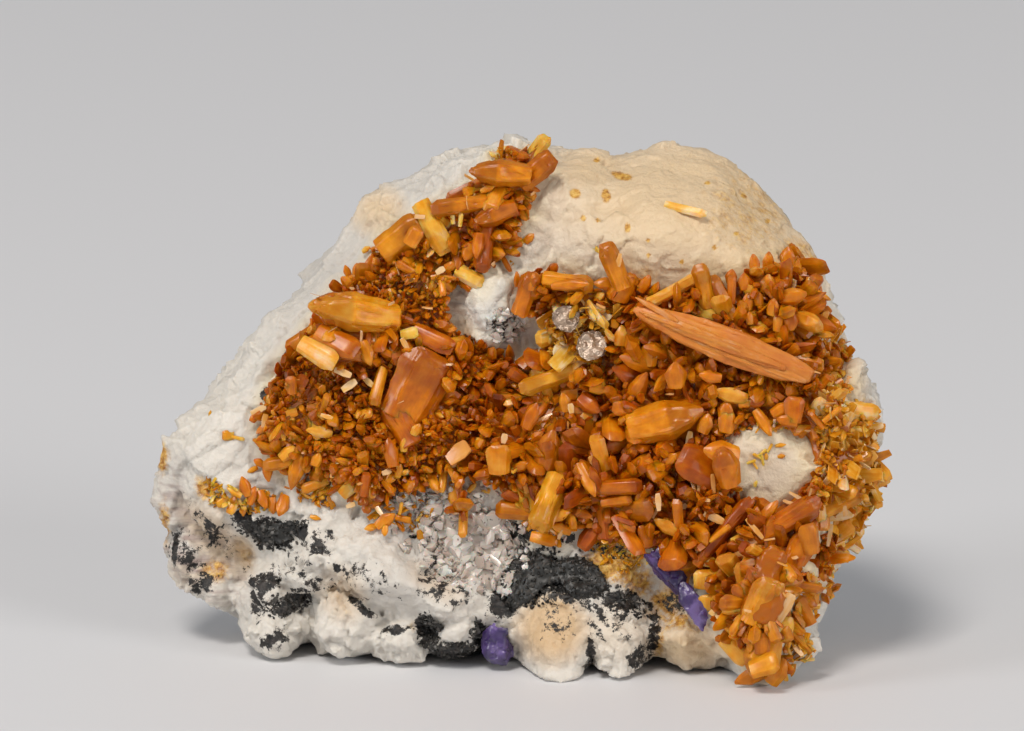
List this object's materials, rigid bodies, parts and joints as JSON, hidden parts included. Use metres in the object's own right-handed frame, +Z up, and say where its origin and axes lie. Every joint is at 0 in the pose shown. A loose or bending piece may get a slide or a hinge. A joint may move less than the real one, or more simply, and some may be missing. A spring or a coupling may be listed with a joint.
{
  "type": "eosphorite mineral specimen",
  "caption": "Orange-brown eosphorite crystals in a dense druse on a broken block of white feldspar, with quartz, apatite, mica and dark grains; stands on its uneven base.",
  "frame": {"origin": "middle of the footprint, on the surface that the specimen stands on", "axes": "+Z up, the crystal-covered face looks towards -Y and leans back by 12 degrees, +X to the right of that face"},
  "size_m": [0.0802, 0.0426, 0.0581],
  "materials": {
    "feldspar": "satin",
    "eosphorite": "gloss",
    "smoky_quartz": "gloss",
    "dark_grains": "matte",
    "apatite": "gloss",
    "mica": "gloss"
  },
  "bodies": {
    "root": {"feldspar_stone": "feldspar", "eosphorite_crust": "eosphorite", "eosphorite_sprig_left": "eosphorite", "eosphorite_sprig_lower": "eosphorite", "eosphorite_stray": "eosphorite", "quartz_patch": "smoky_quartz", "quartz_grain": "smoky_quartz", "dark_grains_left": "dark_grains", "dark_grains_base": "dark_grains", "dark_grains_centre": "dark_grains", "apatite_bead": "apatite", "apatite_tablet": "apatite", "apatite_wedge": "apatite", "mica_book_lower": "mica", "mica_book_upper": "mica"}
  },
  "joints": []
}
